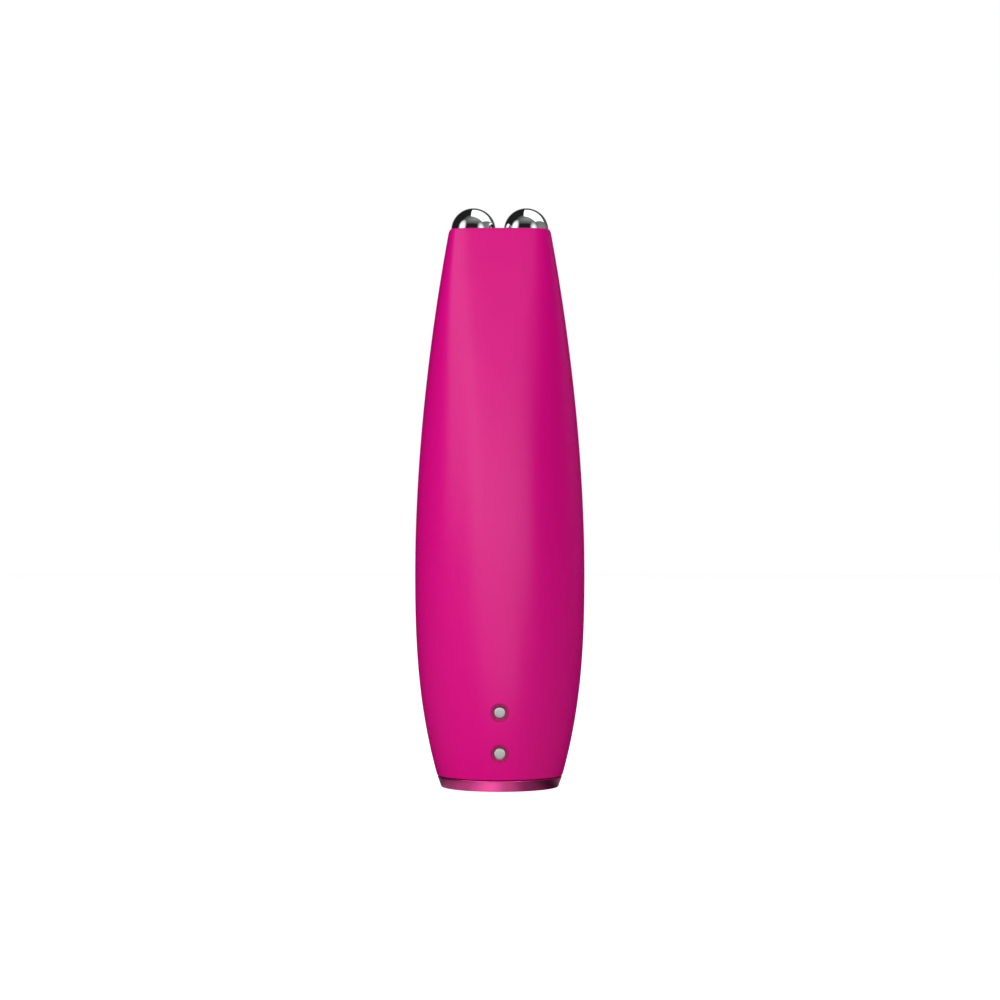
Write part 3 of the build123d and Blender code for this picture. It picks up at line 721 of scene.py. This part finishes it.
def round_fade(tree, scale, location=(0, 0, 0)):
    """1 in the middle of a ball or oval, and fading to 0 at its rim"""
    place = tree.nodes.new("ShaderNodeTexCoord")
    shifted = tree.nodes.new("ShaderNodeMapping")
    shifted.inputs["Location"].default_value = location
    shifted.inputs["Scale"].default_value = scale
    tree.links.new(place.outputs["Object"], shifted.inputs["Vector"])
    fade = tree.nodes.new("ShaderNodeTexGradient")
    fade.gradient_type = "SPHERICAL"
    tree.links.new(shifted.outputs["Vector"], fade.inputs["Vector"])
    return fade.outputs["Fac"]


tent_radius = 1.4
tent_foot = (0, 0, 0.04 * MM)
pool_glow = 0.30
tent_paint, tree, glow = glowing("tent_paint")
axes = axes_of(tree)
behind = ramped(tree, axes["Y"], 1.1, tent_radius, 0.015, 0.35)
flank = ramped(tree, axes["X"], 0.6, 1.3, 0.0, 0.22)
pool = round_fade(tree, scale=(0.65, 1.47, 1.47), location=(-0.10, 1.03, -1.78))
walls = worked(tree, "ADD", behind, flank)
tree.links.new(worked(tree, "MULTIPLY_ADD", pool, pool_glow, walls), glow.inputs["Strength"])

bpy.ops.object.select_all(action="DESELECT")
bpy.ops.mesh.primitive_uv_sphere_add(segments=64, ring_count=32, radius=tent_radius,
                                     location=tent_foot)
tent = bpy.context.object
tent.name = "dark_tent"
bpy.ops.object.mode_set(mode="EDIT")
bpy.ops.mesh.select_all(action="SELECT")
bpy.ops.mesh.bisect(plane_co=tent_foot, plane_no=(0, 0, 1), clear_inner=True, use_fill=True)
bpy.ops.object.mode_set(mode="OBJECT")
tent.data.materials.append(tent_paint)


# Foot card. A small disc under the object, light and dark by turns round its middle, which
# the satin cap reflects as soft bands.

foot_card_radius = 16 * MM
card_level = (0, 0, 0.08 * MM)
card_paint, tree, glow = glowing("card_paint")
around = tree.nodes.new("ShaderNodeTexGradient")
around.gradient_type = "RADIAL"
place = tree.nodes.new("ShaderNodeTexCoord")
tree.links.new(place.outputs["Object"], around.inputs["Vector"])
bands = tree.nodes.new("ShaderNodeValToRGB")
bands.color_ramp.interpolation = "EASE"
stops = bands.color_ramp.elements
for stop in stops:
    stop.color = (0.12, 0.12, 0.12, 1)
for position, shade in ((0.06, 0.30), (0.14, 0.52), (0.225, 1.15), (0.275, 0.60), (0.33, 0.22),
                        (0.43, 0.03), (0.56, 0.30), (0.72, 1.0), (0.88, 0.25)):
    stops.new(position).color = (shade, shade, shade, 1)
tree.links.new(around.outputs["Color"], bands.inputs["Fac"])
tree.links.new(bands.outputs["Color"], glow.inputs["Color"])
bpy.ops.mesh.primitive_circle_add(vertices=72, radius=foot_card_radius, fill_type="TRIFAN",
                                  location=card_level)
foot_card = bpy.context.object
foot_card.name = "foot_card"
foot_card.data.materials.append(card_paint)


# Table card. The lit table in front of the object, wider with the distance and dark near its
# foot as a painted shadow of the object, which gives the sleeve its soft reflection from
# below.

table_near, table_far, table_flare = 0.03, 0.6, 0.45
table_paint, tree, glow = glowing("table_paint")
# Glow of the lit table, with a painted shadow of the object near its foot
table_glow_and_shadow = ramped(tree, axes_of(tree)["Y"], -0.035, -0.09, 0.0, 1.3)
tree.links.new(table_glow_and_shadow, glow.inputs["Strength"])
bpy.ops.mesh.primitive_plane_add(size=1, location=card_level)
table = bpy.context.object
table.name = "table_card"
for vertex in table.data.vertices:
    away = table_far if vertex.co.y < 0 else table_near
    vertex.co = (math.copysign(away * table_flare, vertex.co.x), -away, 0)
table.data.materials.append(table_paint)


# Glint cards. Two glowing ovals beside the camera, each facing the head of the object and
# fading out towards its rim, which the spheres reflect as soft spots.

def glint_card(name, direction, width, height, strength, distance=0.6):
    """Glowing oval in a direction from the head of the object"""
    paint, tree, glow = glowing(name + "_paint")
    fade = round_fade(tree, scale=(2 / width, 2 / height, 1))
    tree.links.new(worked(tree, "MULTIPLY", fade, strength), glow.inputs["Strength"])
    clear = tree.nodes.new("ShaderNodeBsdfTransparent")
    both = joined(tree, "ShaderNodeAddShader", glow, clear)
    tree.links.new(both.outputs[0], tree.nodes["Material Output"].inputs["Surface"])
    aim = Vector(direction).normalized()
    head = Vector((0, 0, rim_height * MM))
    bpy.ops.mesh.primitive_circle_add(vertices=48, radius=1, fill_type="NGON",
                                      location=head + aim * distance,
                                      rotation=aim.to_track_quat("Z", "Y").to_euler())
    disc = bpy.context.object
    disc.name = name
    for vertex in disc.data.vertices:
        vertex.co = (vertex.co.x * width / 2, vertex.co.y * height / 2, 0)
    disc.data.materials.append(paint)
    return disc


left_glint = glint_card("left_glint", (-0.88, -0.47, 0.25), 0.50, 0.84, 2.2)
right_glint = glint_card("right_glint", (0.63, -0.75, 0.16), 0.44, 0.66, 1.5)


# What each light and card falls on. Some are meant for one finish only, and the tent and the
# cards are there for reflections alone: no camera, diffuse or shadow ray meets them.

balls = [piece for piece in bpy.data.objects if "_polished" in piece.name]
satin = [piece for piece in bpy.data.objects
         if any(slot.material in (pink_metal, contact_metal) for slot in piece.material_slots)]
others = [piece for piece in bpy.data.objects if piece.type == "MESH" and piece not in balls]
for source, lit in ((left_box, others), (front_box, others),
                    (left_glint, balls), (right_glint, balls),
                    (right_box, satin), (glint_box, balls), (tent, balls + satin),
                    (foot_card, balls + satin), (upper_box, [sleeve]), (table, [sleeve])):
    group = bpy.data.collections.new(source.name + "_group")
    for piece in lit:
        group.objects.link(piece)
    source.light_linking.receiver_collection = group
for screen in (tent, foot_card, table, left_glint, right_glint):
    screen.visible_camera = False
    screen.visible_diffuse = False
    screen.visible_shadow = False


# Camera. At the height of the handle's middle and square to its rear, with a long lens, so
# that the sides are seen almost without perspective.

camera = bpy.data.objects.new("camera", bpy.data.cameras.new("camera"))
bpy.context.collection.objects.link(camera)
camera.data.lens = 100.0
camera.data.sensor_width = 36.0
camera.data.clip_start = 0.01
camera.location = (0.000034, -0.472, 0.0486)
camera.rotation_euler = (math.pi / 2, 0, 0)
bpy.context.scene.camera = camera
bpy.context.scene.view_settings.view_transform = "Standard"
